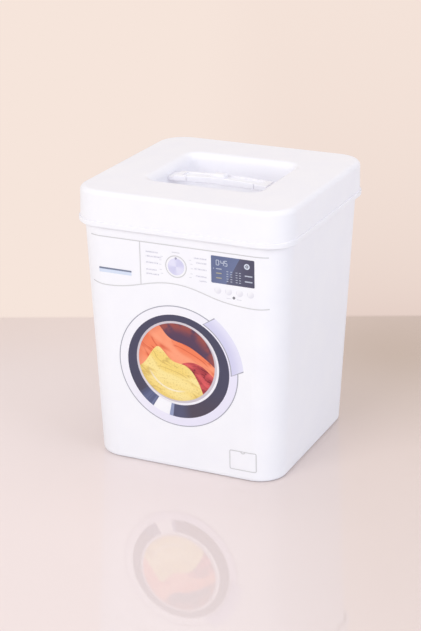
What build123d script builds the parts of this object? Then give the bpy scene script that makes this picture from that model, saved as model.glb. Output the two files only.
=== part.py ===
"""Square washing-powder box: tapered tub, lift-off lid with a bridged hand well, printed front."""
import os
from math import atan, degrees, radians, tan

from build123d import *

os.makedirs("parts", exist_ok=True)

# Tub. Lengths are in millimetres and angles in degrees throughout.
total_height = 224.0
tub_lean = 8.2
tub_corner = 22.5
tub_wall = 1.8
base_plate = 2.0
foot_recess = 1.5
foot_band = 9.0
base_edge = 3.0
floor_edge = 4.0
rim_edge = 0.5

# Lid
lid_width = 179.0
lid_lean = 0.4
rim_clearance = 0.3
lid_corner = 23.4
skirt_height = 28.3
lid_wall = 1.4
lid_plate = 2.0
lid_edge = 4.0
bead_height = 4.4
bead_proud = 1.1
bead_top_edge = 0.7
bead_low_edge = 1.2
plug_height = 6.0
plug_wall = 1.5
plug_clearance = 0.5

# Hand well in the lid
well_length = 91.0
well_width = 83.0
well_corner = 8.0
well_depth = 24.5
well_draft = 2.5
well_wall = 1.8
well_floor_edge = 3.0
mouth_round = 6.4

# Handle bar across the well
bar_width = 15.6
bar_waist = 1.2
bar_end_low = 10.2
bar_mid_low = 9.5
bar_end_top = 6.0
bar_mid_top = 4.3
bar_end_gap = 5.6
bar_edge = 0.8
trough_rim = 1.6
trough_depth = 1.2
trough_length = 67.0
nub_place = (-2.0, -2.2)
nub_width = 10.5
nub_top = 1.6
nub_depth = 8.0
nub_edge = 2.2
seam_place = 29.0
seam_width = 0.7
seam_depth = 0.3
tongue_width = 14.4
tongue_length = 2.2
tongue_top = 7.4
tongue_low = 10.0
tongue_clearance = 0.1
socket_wall = 1.6

# Print: heights are measured from the base and places across from the middle of the front. It is drawn for
# a front wall of the height and flat width named first, and shrinks with a smaller wall.
print_drawn_height = 195.7
print_drawn_width = 129.8
ink_thickness = 0.12
line_width = 0.8
panel_half = 74.0
panel_top = 187.8
drawer_edge = -31.3
drawer_low = 152.6
slot_left = -66.9
slot_right = -39.2
slot_low = 158.6
slot_middle = 161.3
slot_top = 162.6
dial_place = (-1.1, 171.3)
dial_ring = 9.0
dial_disc = 6.8
pointer_radius = 0.9
caption_left = -26.4
caption_right = 24.3
caption_height = 1.0
caption_lengths_left = (10.6, 13.2, 10.4, 9.0, 10.8)
caption_lengths_right = (10.4, 8.4, 10.0, 9.0, 6.0)
caption_rows = (180.4, 176.8, 171.8, 166.1, 162.6)
screen_place = (45.7, 173.9)
screen_width = 35.2
screen_height = 21.8
screen_corner = 0.8
screen_glare_top = 23.5
screen_glare_low = 12.0
button_places = (33.3, 42.1, 51.1, 60.0)
button_height = 157.3
button_radius = 2.8
lamp_place = (46.4, 152.9)
lamp_radius = 1.1
wave_points = [
    (-74.0, 149.7),
    (-60.5, 148.2),
    (-43.0, 149.9),
    (-25.0, 154.3),
    (-6.5, 157.0),
    (12.0, 155.1),
    (32.0, 149.5),
    (54.0, 146.3),
    (74.0, 146.6),
]
door_place = (-1.7, 88.4)
door_outline = 50.8
door_bezel = 43.3
glass_place = (-2.1, 91.2)
glass_rim = 35.2
glass_radius = 33.4
grip_outer = 55.3
grip_inner = 45.3
grip_outer_angles = (5.5, 54.5)
grip_inner_angles = (0.0, 60.0)
shine_angles = (-143.0, -121.5)
bare_angles = (-121.5, -101.5)
flap_place = (51.9, 16.8)
flap_width = 22.8
flap_height = 16.9
flap_corner = 1.6
flap_notch = 2.3
orange_edge = [
    (-40.0, 16.0),
    (-29.0, 24.0),
    (-17.0, 31.0),
    (-8.0, 22.0),
    (6.0, 17.0),
    (20.0, 10.0),
    (40.0, -8.0),
]
yellow_edge = [
    (-40.0, -8.0),
    (-27.0, -1.0),
    (-16.0, 12.0),
    (-5.0, 2.0),
    (7.0, -1.0),
    (15.0, -9.0),
    (24.0, -40.0),
]
red_edge = [
    (-2.0, -12.0),
    (5.0, 1.0),
    (17.0, 2.0),
    (27.0, -4.0),
    (40.0, -16.0),
]

# Levels and places worked out from the sizes above
pick = 0.01
plate_under = total_height - lid_plate
tub_height = plate_under
floor_level = foot_recess + base_plate
skirt_low = total_height - skirt_height
bead_level = skirt_low + bead_height
well_floor = total_height - well_depth
rim_width = lid_width - 2 * (lid_lean + lid_wall + rim_clearance)
base_width = rim_width - 2 * tub_lean
tub_slope = 2 * tub_lean / tub_height
tub_draft = degrees(atan(tub_lean / tub_height))
lid_draft = degrees(atan(lid_lean / skirt_height))
print_scale = min(skirt_low / print_drawn_height, (rim_width - 2 * tub_corner) / print_drawn_width)
skin_width = rim_width + 2 * ink_thickness
inner_rim_width = rim_width - 2 * tub_wall
inner_corner = tub_corner - tub_wall
plug_width = inner_rim_width - tub_slope * plug_height - 2 * plug_clearance
bar_half = well_length / 2 - bar_end_low * tan(radians(well_draft)) - bar_end_gap
socket_reach = well_length / 2 + tongue_length
tongue_reach = socket_reach - tongue_clearance - bar_half + bar_edge
front_wall = Plane(origin=(0, -base_width / 2, 0), x_dir=(1, 0, 0), z_dir=(0, -1, -tub_slope / 2))
line_turn = degrees(line_width / grip_inner)
grip_outer_turn = grip_outer_angles[1] - grip_outer_angles[0]
grip_inner_turn = grip_inner_angles[1] - grip_inner_angles[0]

# Room inside the tub
with BuildPart() as tub_room:
    with BuildSketch(Plane.XY.offset(tub_height)):
        Rectangle(inner_rim_width, inner_rim_width)
    extrude(amount=floor_level - tub_height, taper=tub_draft)
    fillet(tub_room.edges().group_by(Axis.Z)[1], inner_corner)
    fillet(tub_room.edges().group_by(Axis.Z)[0], floor_edge)

# Full outside form of the tub
with BuildPart() as tub_form:
    with BuildSketch(Plane.XY.offset(tub_height)):
        Rectangle(rim_width, rim_width)
    extrude(amount=-tub_height, taper=tub_draft)
    fillet(tub_form.edges().group_by(Axis.Z)[1], tub_corner)

# Skin on the outside of the tub that the inks are cut from
with BuildPart() as ink_skin:
    with BuildSketch(Plane.XY.offset(tub_height)):
        Rectangle(skin_width, skin_width)
    extrude(amount=-tub_height, taper=tub_draft)
    fillet(ink_skin.edges().group_by(Axis.Z)[1], tub_corner + ink_thickness)
    add(tub_form.part, mode=Mode.SUBTRACT)

with BuildPart() as tub:
    add(tub_form.part)
    fillet(tub.edges().group_by(Axis.Z)[0], base_edge)
    with BuildSketch():
        RectangleRounded(base_width - 2 * foot_band, base_width - 2 * foot_band, tub_corner - foot_band)
    extrude(amount=foot_recess, mode=Mode.SUBTRACT)
    add(tub_room.part, mode=Mode.SUBTRACT)
    fillet(tub.edges().group_by(Axis.Z)[-1], rim_edge)

# Hollow under the lid's plate, inside its skirt
with BuildPart() as skirt_room:
    with BuildSketch(Plane.XY.offset(skirt_low)):
        Rectangle(lid_width - 2 * lid_wall, lid_width - 2 * lid_wall)
    extrude(amount=skirt_height - lid_plate, taper=lid_draft)
    fillet(skirt_room.edges().group_by(Axis.Z)[1], lid_corner - lid_wall)

with BuildPart() as lid:
    with BuildSketch(Plane.XY.offset(skirt_low)):
        Rectangle(lid_width, lid_width)
    extrude(amount=skirt_height, taper=lid_draft)
    fillet(lid.edges().group_by(Axis.Z)[1], lid_corner)
    fillet(lid.edges().group_by(Axis.Z)[-1], lid_edge)
    # Bead round the skirt's lower edge
    with BuildSketch(Plane.XY.offset(skirt_low)):
        RectangleRounded(lid_width + 2 * bead_proud, lid_width + 2 * bead_proud, lid_corner + bead_proud)
    extrude(amount=bead_height)
    fillet(lid.edges().group_by(Axis.Z)[0], bead_low_edge)
    bead_step = lid.faces().filter_by_position(Axis.Z, bead_level - pick, bead_level + pick)[0]
    fillet(bead_step.outer_wire().edges(), bead_top_edge)
    add(skirt_room.part, mode=Mode.SUBTRACT)
    # Well, outside
    with BuildSketch(Plane.XY.offset(plate_under)):
        RectangleRounded(well_length + 2 * well_wall, well_width + 2 * well_wall, well_corner + well_wall)
    extrude(amount=-(well_depth + well_wall - lid_plate), taper=well_draft)
    plate_face = lid.faces().filter_by_position(Axis.Z, plate_under - pick, plate_under + pick)[0]
    fillet(plate_face.inner_wires()[0].edges(), mouth_round - well_wall)
    # Backing of the two handle sockets
    with BuildSketch(Plane.XY.offset(total_height - lid_plate / 2)):
        with Locations((-socket_reach, 0), (socket_reach, 0)):
            Rectangle(2 * socket_wall, tongue_width + 2 * socket_wall)
    extrude(amount=-(tongue_low + socket_wall - lid_plate / 2))
    # Well, inside
    with BuildSketch(Plane.XY.offset(total_height)):
        RectangleRounded(well_length, well_width, well_corner)
    extrude(amount=-well_depth, taper=well_draft, mode=Mode.SUBTRACT)
    mouth = lid.faces().filter_by_position(Axis.Z, total_height - pick, total_height + pick)[0]
    fillet(mouth.inner_wires()[0].edges(), mouth_round)
    floor_face = lid.faces().filter_by_position(Axis.Z, well_floor - pick, well_floor + pick)[0]
    fillet(floor_face.outer_wire().edges(), well_floor_edge)
    # Sockets that take the handle's tongues
    with BuildSketch(Plane.XY.offset(total_height - tongue_low)):
        Rectangle(2 * socket_reach, tongue_width)
    extrude(amount=tongue_low - tongue_top + tongue_clearance, mode=Mode.SUBTRACT)
    # Plug ring that centres the lid in the rim
    with BuildSketch(Plane.XY.offset(plate_under)):
        RectangleRounded(plug_width, plug_width, inner_corner - plug_clearance)
        offset(amount=-plug_wall, mode=Mode.SUBTRACT)
    extrude(amount=-plug_height)

with BuildPart() as lid_handle:
    # Arched bar
    with BuildSketch(Plane.XZ):
        with BuildLine():
            ThreePointArc(
                (-bar_half, total_height - bar_end_low),
                (0, total_height - bar_mid_low),
                (bar_half, total_height - bar_end_low),
            )
            Line((bar_half, total_height - bar_end_low), (bar_half, total_height - bar_end_top))
            ThreePointArc(
                (bar_half, total_height - bar_end_top),
                (0, total_height - bar_mid_top),
                (-bar_half, total_height - bar_end_top),
            )
            Line((-bar_half, total_height - bar_end_top), (-bar_half, total_height - bar_end_low))
        make_face()
    extrude(amount=bar_width / 2, both=True)
    # Waist on both long sides
    with BuildSketch(Plane.XY.offset(total_height)):
        for side in (-1, 1):
            with BuildLine():
                ThreePointArc(
                    (-bar_half, side * bar_width / 2),
                    (0, side * (bar_width / 2 - bar_waist)),
                    (bar_half, side * bar_width / 2),
                )
                Line((bar_half, side * bar_width / 2), (-bar_half, side * bar_width / 2))
            make_face()
    extrude(amount=-well_depth, mode=Mode.SUBTRACT)
    long_edges = lid_handle.edges().filter_by(lambda edge: edge.length > bar_half)
    fillet(long_edges, bar_edge)
    # Trough along the top
    with BuildSketch(Plane.XZ):
        with BuildLine():
            ThreePointArc(
                (-bar_half, total_height - bar_end_top - trough_depth),
                (0, total_height - bar_mid_top - trough_depth),
                (bar_half, total_height - bar_end_top - trough_depth),
            )
            Polyline(
                (bar_half, total_height - bar_end_top - trough_depth),
                (bar_half, total_height),
                (-bar_half, total_height),
                (-bar_half, total_height - bar_end_top - trough_depth),
            )
        make_face()
        with Locations((0, total_height - bar_end_low)):
            Rectangle(trough_length, 2 * bar_end_low, mode=Mode.INTERSECT)
    extrude(amount=bar_width / 2 - bar_waist - trough_rim, both=True, mode=Mode.SUBTRACT)
    # Nub at the middle
    with BuildSketch(Plane.XY.offset(total_height - nub_top)):
        with Locations(nub_place):
            Rectangle(nub_width, nub_depth)
    extrude(amount=nub_top + bar_edge - bar_mid_low)
    nub_face = lid_handle.faces().sort_by(Axis.Z)[-1]
    fillet(nub_face.edges(), nub_edge)
    # Seams beside the end lugs
    with BuildSketch(Plane.XY.offset(total_height)):
        with Locations(
            (-seam_place, -bar_width / 2),
            (seam_place, -bar_width / 2),
            (-seam_place, bar_width / 2),
            (seam_place, bar_width / 2),
        ):
            Rectangle(seam_width, 2 * (seam_depth + bar_waist))
    extrude(amount=-well_depth, mode=Mode.SUBTRACT)
    # Tongues that reach into the lid's sockets
    with BuildSketch(Plane.XY.offset(total_height - tongue_low)):
        with Locations((-socket_reach + tongue_clearance, 0)):
            Rectangle(tongue_reach, tongue_width - 2 * tongue_clearance, align=(Align.MIN, Align.CENTER))
        with Locations((socket_reach - tongue_clearance, 0)):
            Rectangle(tongue_reach, tongue_width - 2 * tongue_clearance, align=(Align.MAX, Align.CENTER))
    extrude(amount=tongue_low - tongue_top)

# Fields of the print that cut others back
with BuildSketch() as grip_field:
    with BuildLine():
        outer_arc = CenterArc(door_place, grip_outer, grip_outer_angles[0], grip_outer_turn)
        inner_arc = CenterArc(door_place, grip_inner, grip_inner_angles[0], grip_inner_turn)
        Line(outer_arc @ 0, inner_arc @ 0)
        Line(outer_arc @ 1, inner_arc @ 1)
    make_face()

with BuildSketch() as grip_edge_field:
    with BuildLine():
        outer_arc = CenterArc(
            door_place,
            grip_outer,
            grip_outer_angles[0] - line_turn,
            grip_outer_turn + 2 * line_turn,
        )
        inner_arc = CenterArc(
            door_place,
            grip_inner - line_width,
            grip_inner_angles[0] - line_turn,
            grip_inner_turn + 2 * line_turn,
        )
        Line(outer_arc @ 0, inner_arc @ 0)
        Line(outer_arc @ 1, inner_arc @ 1)
    make_face()

with BuildSketch() as shine_field:
    with BuildLine():
        shine_arc = CenterArc(door_place, door_bezel, shine_angles[0], shine_angles[1] - shine_angles[0])
        Line(door_place, shine_arc @ 0)
        Line(shine_arc @ 1, door_place)
    make_face()
    with Locations(glass_place):
        Circle(glass_rim, mode=Mode.SUBTRACT)

with BuildSketch() as bare_field:
    with BuildLine():
        bare_arc = CenterArc(door_place, door_bezel, bare_angles[0], bare_angles[1] - bare_angles[0])
        Line(door_place, bare_arc @ 0)
        Line(bare_arc @ 1, door_place)
    make_face()

with BuildSketch() as screen_field:
    with Locations(screen_place):
        RectangleRounded(screen_width, screen_height, screen_corner)

with BuildSketch() as glare_field:
    screen_left = screen_place[0] - screen_width / 2
    screen_top = screen_place[1] + screen_height / 2
    screen_low = screen_place[1] - screen_height / 2
    with BuildLine():
        Polyline(
            (screen_left, screen_low),
            (screen_left + screen_glare_low, screen_low),
            (screen_left + screen_glare_top, screen_top),
            (screen_left, screen_top),
            close=True,
        )
    make_face()
    add(screen_field.sketch, mode=Mode.INTERSECT)

# Laundry behind the glass, drawn about the middle of the glass
with BuildSketch() as yellow_field:
    with BuildLine():
        Spline(*yellow_edge)
        Polyline(yellow_edge[-1], (yellow_edge[0][0], yellow_edge[-1][1]), yellow_edge[0])
    make_face()
    Circle(glass_radius, mode=Mode.INTERSECT)

with BuildSketch() as red_field:
    with BuildLine():
        Spline(*red_edge)
        Polyline(
            red_edge[-1],
            (red_edge[-1][0], yellow_edge[-1][1]),
            (red_edge[0][0], yellow_edge[-1][1]),
            red_edge[0],
        )
    make_face()
    Circle(glass_radius, mode=Mode.INTERSECT)
    add(yellow_field.sketch, mode=Mode.SUBTRACT)

with BuildSketch() as orange_field:
    with BuildLine():
        Spline(*orange_edge)
        Polyline(
            orange_edge[-1],
            (orange_edge[-1][0], yellow_edge[-1][1]),
            (orange_edge[0][0], yellow_edge[-1][1]),
            orange_edge[0],
        )
    make_face()
    Circle(glass_radius, mode=Mode.INTERSECT)
    add(yellow_field.sketch, mode=Mode.SUBTRACT)
    add(red_field.sketch, mode=Mode.SUBTRACT)

with BuildPart() as print_grey:
    with BuildSketch(Plane.XZ):
        # Panel: top line, drawer edge and wave
        with Locations((0, panel_top)):
            Rectangle(2 * panel_half, line_width)
        with Locations((drawer_edge, panel_top)):
            Rectangle(line_width, panel_top - drawer_low, align=(Align.CENTER, Align.MAX))
        with BuildLine():
            Spline(*wave_points)
        trace(line_width=line_width)
        # Dial ring and captions
        with Locations(dial_place):
            Circle(dial_ring)
            Circle(dial_ring - line_width, mode=Mode.SUBTRACT)
        for row, left_length, right_length in zip(caption_rows, caption_lengths_left, caption_lengths_right):
            with Locations((caption_left, row)):
                Rectangle(left_length, caption_height, align=(Align.MIN, Align.CENTER))
            with Locations((caption_right, row)):
                Rectangle(right_length, caption_height, align=(Align.MAX, Align.CENTER))
        # Flap
        with Locations(flap_place):
            RectangleRounded(flap_width, flap_height, flap_corner)
        scale(by=print_scale)
    extrude(amount=rim_width)
    add(ink_skin.part, mode=Mode.INTERSECT)
    with BuildSketch(Plane.XZ):
        with Locations(flap_place):
            RectangleRounded(
                flap_width - 2 * line_width,
                flap_height - 2 * line_width,
                flap_corner - line_width,
            )
        with Locations((flap_place[0], flap_place[1] + flap_height / 2)):
            Circle(flap_notch, mode=Mode.SUBTRACT)
            Circle(flap_notch - line_width)
            Rectangle(flap_width, 2 * line_width, mode=Mode.SUBTRACT)
        scale(by=print_scale)
    extrude(amount=rim_width, mode=Mode.SUBTRACT)

with BuildPart() as print_pale:
    with BuildSketch(front_wall):
        with Locations(door_place):
            Circle(door_outline - line_width)
            Circle(door_bezel, mode=Mode.SUBTRACT)
        add(grip_edge_field.sketch, mode=Mode.SUBTRACT)
        with Locations(glass_place):
            Circle(glass_rim)
            Circle(glass_radius, mode=Mode.SUBTRACT)
        for place in button_places:
            with Locations((place, button_height)):
                Circle(button_radius)
        scale(by=print_scale)
    extrude(amount=ink_thickness)

with BuildPart() as print_lilac:
    with BuildSketch(front_wall):
        add(grip_field.sketch)
        with Locations(dial_place):
            Circle(dial_disc)
        with Locations((dial_place[0], dial_place[1] + dial_disc)):
            Circle(pointer_radius, mode=Mode.SUBTRACT)
        scale(by=print_scale)
    extrude(amount=ink_thickness)

with BuildPart() as print_slate:
    with BuildSketch(front_wall):
        # Door bezel and the dark drum above the laundry
        with Locations(door_place):
            Circle(door_bezel)
        with Locations(glass_place):
            Circle(glass_rim, mode=Mode.SUBTRACT)
        add(shine_field.sketch, mode=Mode.SUBTRACT)
        add(bare_field.sketch, mode=Mode.SUBTRACT)
        with Locations(glass_place):
            Circle(glass_radius)
            add(orange_field.sketch, mode=Mode.SUBTRACT)
            add(yellow_field.sketch, mode=Mode.SUBTRACT)
            add(red_field.sketch, mode=Mode.SUBTRACT)
        # Outline of the door and of its grip
        with BuildSketch(mode=Mode.PRIVATE) as door_line:
            with Locations(door_place):
                Circle(door_outline)
                Circle(door_outline - line_width, mode=Mode.SUBTRACT)
            add(grip_edge_field.sketch)
            add(grip_field.sketch, mode=Mode.SUBTRACT)
        add(door_line.sketch)
        # Screen, drawer slot, pointer and lamp
        add(screen_field.sketch)
        add(glare_field.sketch, mode=Mode.SUBTRACT)
        with Locations(((slot_left + slot_right) / 2, (slot_middle + slot_top) / 2)):
            Rectangle(slot_right - slot_left, slot_top - slot_middle)
        with Locations((dial_place[0], dial_place[1] + dial_disc)):
            Circle(pointer_radius)
        with Locations(lamp_place):
            Circle(lamp_radius)
        scale(by=print_scale)
    extrude(amount=ink_thickness)

with BuildPart() as print_blue:
    with BuildSketch(front_wall):
        add(shine_field.sketch)
        add(glare_field.sketch)
        with Locations(((slot_left + slot_right) / 2, (slot_low + slot_middle) / 2)):
            Rectangle(slot_right - slot_left, slot_middle - slot_low)
        scale(by=print_scale)
    extrude(amount=ink_thickness)

with BuildPart() as print_orange:
    with BuildSketch(front_wall):
        with Locations(glass_place):
            add(orange_field.sketch)
        scale(by=print_scale)
    extrude(amount=ink_thickness)

with BuildPart() as print_yellow:
    with BuildSketch(front_wall):
        with Locations(glass_place):
            add(yellow_field.sketch)
        scale(by=print_scale)
    extrude(amount=ink_thickness)

with BuildPart() as print_red:
    with BuildSketch(front_wall):
        with Locations(glass_place):
            add(red_field.sketch)
        scale(by=print_scale)
    extrude(amount=ink_thickness)

tub.part.label = "tub"
export_step(tub.part, "parts/tub.step")
lid.part.label = "lid"
export_step(lid.part, "parts/lid.step")
lid_handle.part.label = "lid_handle"
export_step(lid_handle.part, "parts/lid_handle.step")
print_grey.part.label = "print_grey"
export_step(print_grey.part, "parts/print_grey.step")
print_pale.part.label = "print_pale"
export_step(print_pale.part, "parts/print_pale.step")
print_lilac.part.label = "print_lilac"
export_step(print_lilac.part, "parts/print_lilac.step")
print_slate.part.label = "print_slate"
export_step(print_slate.part, "parts/print_slate.step")
print_blue.part.label = "print_blue"
export_step(print_blue.part, "parts/print_blue.step")
print_orange.part.label = "print_orange"
export_step(print_orange.part, "parts/print_orange.step")
print_yellow.part.label = "print_yellow"
export_step(print_yellow.part, "parts/print_yellow.step")
print_red.part.label = "print_red"
export_step(print_red.part, "parts/print_red.step")
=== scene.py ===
"""Looks of a square washing-powder box: white plastic, a printed front, fine marks and a stage."""
import math

import bpy
from mathutils import Matrix, Vector


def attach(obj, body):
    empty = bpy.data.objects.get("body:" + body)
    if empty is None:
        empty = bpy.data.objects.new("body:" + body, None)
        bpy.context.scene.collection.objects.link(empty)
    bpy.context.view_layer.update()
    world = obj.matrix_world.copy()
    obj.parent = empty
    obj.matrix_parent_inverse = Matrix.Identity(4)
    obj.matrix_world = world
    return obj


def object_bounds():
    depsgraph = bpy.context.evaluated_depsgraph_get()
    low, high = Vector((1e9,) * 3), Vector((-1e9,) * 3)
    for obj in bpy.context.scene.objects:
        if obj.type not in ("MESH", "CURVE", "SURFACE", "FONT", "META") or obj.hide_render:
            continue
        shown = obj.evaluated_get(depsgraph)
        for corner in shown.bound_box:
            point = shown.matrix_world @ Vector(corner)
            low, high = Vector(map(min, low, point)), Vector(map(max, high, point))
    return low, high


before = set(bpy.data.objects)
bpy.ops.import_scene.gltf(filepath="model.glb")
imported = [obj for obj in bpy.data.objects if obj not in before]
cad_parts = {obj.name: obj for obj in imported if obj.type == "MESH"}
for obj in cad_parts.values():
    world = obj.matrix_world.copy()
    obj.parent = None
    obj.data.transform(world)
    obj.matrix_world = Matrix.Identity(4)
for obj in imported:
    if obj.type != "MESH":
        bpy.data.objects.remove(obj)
cad_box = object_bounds()

bl_info = {
    "name": "Washing Powder Box",
    "version": (1, 0, 0),
    "blender": (4, 5, 0),
    "location": "View3D > Sidebar > Powder Box",
    "description": "Finishes the box's plastic and print, adds its fine marks and sets the stage",
    "category": "Object",
}

MM = 0.001
PLASTIC_NODES = ("tub", "lid", "lid_handle")
TUB_BODY = "tub"

# Places on the front in millimetres: across from its middle, and up from the base
DOOR_MIDDLE = (-1.7, 88.4, 0.0)
GLASS_MIDDLE = (-2.1, 91.2, 0.0)
GLASS_EDGE_MIDDLE = (-3.4, 92.3, 0.0)
DIAL_MIDDLE = (-1.1, 171.3, 0.0)
SCREEN_MIDDLE = (45.7, 173.9, 0.0)
SCREEN_HALF = (18.6, 11.9, 1.0)
SLOT_MIDDLE = (-53.0, 160.8, 0.0)
SLOT_HALF = (15.0, 3.4, 1.0)
DIAL_HALF = (9.0, 9.0, 1.0)
LAMP_MIDDLE = (46.4, 152.9, 0.0)
LAMP_HALF = (2.0, 2.0, 1.0)
CAPTIONS_LEFT = (-20.0, 171.5, 0.0)
CAPTIONS_RIGHT = (19.2, 171.5, 0.0)
CAPTIONS_HALF = (7.4, 11.0, 1.0)
BUTTON_STEP = 8.9
BUTTON_SLANT = -159.6

# Where shades of the print begin and end: lengths in millimetres, turns in degrees
RING_SHADE = (-150.0, -30.0)
RIM_REACH = (42.0, 41.0)
BUTTON_LEVEL = (149.0, 150.0)
BUTTON_DOME = (BUTTON_SLANT - 2.4, BUTTON_SLANT + 3.4)
GRIP_REACH = (46.0, 55.5)
DIAL_REACH = (9.5, 8.5)
DIAL_SECTORS = (-0.9, 0.9)
RING_LOW_SIDE = (78.0, 48.0)
RING_STREAK = (-102.0, -97.5, 0.6)
RING_FADING = (-97.0, -88.0, 16.0)
DRUM_REACH = (34.9, 34.5)
DRUM_GLOW_REACH = (23.0, 33.0)
OUTLINE_REACH = (44.2, 44.6)
SCREEN_DUSK = (40.0, 62.0)
SCREEN_LEAN = -0.53
SCREEN_LIT = (-64.0, -44.0)
SHINE_START = (-136.0, -143.0)
CLOTH_DIM_REACH = (27.0, 36.0)
GLASS_EDGE_REACH = (32.5, 33.2)
GLEAM_REACH = (24.6, 25.2, 0.7)
GLEAM_TURN = (-138.0, -92.0, 26.0)

# Finish of plastic and print: parts of a noise, shares from 0 to 1, and the depth of a bump in metres
PLASTIC_SPECULAR = 0.42
PLASTIC_BUMP = 0.05
INK_SPECULAR = 0.35
INK_BUMP = 0.04
BUMP_DEPTH = 0.0001
CLOUD_RANGE = (0.3, 0.7)
CLOUD_DULLING = 0.06
CAPTION_GAPS = (0.4, 0.75)
GLOW_PATCHES = (0.3, 0.6)
STREAK_RANGE = (0.4, 0.8)
STREAK_SHARE = 0.4
FADING_SHARE = 0.6
GLEAM_SHARE = 0.45
MARK_DULLING = 0.9

# Cloth behind the glass; its folds are drawn out along one direction
FOLD_DRAW = (0.45, 1.5, 1.0)
FOLD_LIGHT = (0.34, 0.68)
RIDGE_SHARE = 1.7
CREASE_WIDTH = (0.05, 0.0)
CREASE_BREAK = (0.58, 0.42)
WEAVE_RANGE = (0.52, 0.7)
CLOTH_DIMMING = 0.4
CLOTHS = {
    "orange": {"lie": 35.0, "fold_scale": 0.05, "crease": 0.7, "weave": 0.08},
    "yellow": {"lie": 25.0, "fold_scale": 0.06, "crease": 0.55, "weave": 0.4},
    "red": {"lie": 20.0, "fold_scale": 0.13, "crease": 0.9, "weave": 0.15},
}


def display(red, green, blue):
    """Linear colour of a display colour that is given from 0 to 255."""
    shares = [value / 255 for value in (red, green, blue)]
    return tuple(s / 12.92 if s <= 0.04045 else ((s + 0.055) / 1.055) ** 2.4 for s in shares)


def colour_property(name, description, red, green, blue):
    """A colour that the user can change, given as display values."""
    return bpy.props.FloatVectorProperty(
        name=name, description=description, subtype="COLOR", size=3, min=0.0, max=1.0,
        default=display(red, green, blue),
    )


def length_property(name, description, millimetres):
    """A length that the user can change, given in millimetres."""
    return bpy.props.FloatProperty(
        name=name, description=description, unit="LENGTH", default=millimetres * MM
    )


def angle_property(name, description, degrees):
    """An angle that the user can change, given in degrees."""
    return bpy.props.FloatProperty(
        name=name, description=description, subtype="ANGLE", default=math.radians(degrees)
    )


def power_property(name, description, watts):
    """A lamp's power that the user can change."""
    return bpy.props.FloatProperty(name=name, description=description, unit="POWER", default=watts)


def share_property(name, description, default):
    """A share from 0 to 1 that the user can change."""
    return bpy.props.FloatProperty(
        name=name, description=description, subtype="FACTOR", min=0.0, max=1.0, default=default
    )


class PlasticSettings(bpy.types.PropertyGroup):
    """Finish of the moulded plastic."""

    white: colour_property("White", "Colour of the moulded plastic", 248, 247, 252)
    milky: colour_property("Milky white", "Colour in the plastic's denser clouds", 246, 245, 251)
    roughness: share_property("Roughness", "Roughness of the plastic's smooth skin", 0.3)
    grain: length_property("Grain", "Width of the mould's fine grain", 0.35)
    cloud: length_property("Cloud", "Width of the clouds in the plastic", 22.0)


class InkSettings(bpy.types.PropertyGroup):
    """Colours of the printed front."""

    line_grey: colour_property("Line grey", "Thin lines of the panel and the flap", 210, 209, 212)
    outline_grey: colour_property("Outline grey", "Outline of the door and of its grip", 168, 168, 180)
    caption_grey: colour_property("Caption grey", "Captions round the dial", 208, 206, 220)
    pointer_grey: colour_property("Pointer grey", "Pointer of the dial", 158, 156, 180)
    lamp_grey: colour_property("Lamp grey", "Small lamp under the buttons", 128, 128, 135)
    paper_white: colour_property("Paper white", "White between the marks", 248, 247, 252)
    ring_light: colour_property("Ring, light", "Door ring at its upper left", 245, 243, 250)
    ring_shade: colour_property("Ring, shade", "Door ring at its lower right", 234, 230, 248)
    glass_rim: colour_property("Glass rim", "Rim round the glass", 206, 197, 206)
    button: colour_property("Button", "Round buttons under the screen", 245, 244, 249)
    button_shade: colour_property("Button, shade", "Round buttons, shaded side", 231, 229, 238)
    lilac_light: colour_property("Lilac, light", "Light side of the grip and the dial", 229, 227, 247)
    lilac_shade: colour_property("Lilac, shade", "Shaded side of the grip and the dial", 211, 209, 237)
    slate: colour_property("Slate", "Dark ring round the glass", 74, 73, 97)
    slate_warm: colour_property("Warm slate", "Dark ring at its lower side", 82, 73, 88)
    drum: colour_property("Drum", "Dark drum behind the glass", 88, 64, 90)
    drum_red: colour_property("Drum, red", "Glow of the laundry at the rim of the drum", 158, 80, 74)
    screen_dark: colour_property("Screen, dark", "Dark side of the screen at its edge", 82, 80, 102)
    screen_light: colour_property("Screen, light", "Light side at the screen's middle", 109, 119, 155)
    screen_blue: colour_property("Screen, blue", "Light side of the screen at its edge", 102, 112, 148)
    screen_dusk: colour_property("Screen, dusk", "Dark side of the screen at its middle", 97, 99, 124)
    shine: colour_property("Shine", "Shine on the dark ring", 88, 94, 130)
    shine_light: colour_property("Shine, light", "Bright streaks in that shine", 148, 156, 192)
    slot_blue: colour_property("Slot blue", "Lower band of the drawer's slot", 215, 224, 243)
    slot_dark: colour_property("Slot, dark", "Upper band of the drawer's slot", 120, 128, 152)
    orange: colour_property("Orange", "Orange cloth", 243, 130, 90)
    orange_light: colour_property("Orange, light", "Lit folds of the orange cloth", 252, 162, 126)
    orange_deep: colour_property("Orange, deep", "Deep folds of the orange cloth", 210, 80, 54)
    yellow: colour_property("Yellow", "Yellow cloth", 245, 214, 122)
    yellow_light: colour_property("Yellow, light", "Lit folds of the yellow cloth", 251, 229, 156)
    yellow_deep: colour_property("Yellow, deep", "Deep folds of the yellow cloth", 194, 158, 84)
    red: colour_property("Red", "Red cloth", 174, 62, 70)
    red_light: colour_property("Red, light", "Lit folds of the red cloth", 224, 94, 96)
    red_deep: colour_property("Red, deep", "Deep folds of the red cloth", 106, 32, 46)
    roughness: share_property("Roughness", "Roughness of the printed film", 0.34)


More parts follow.
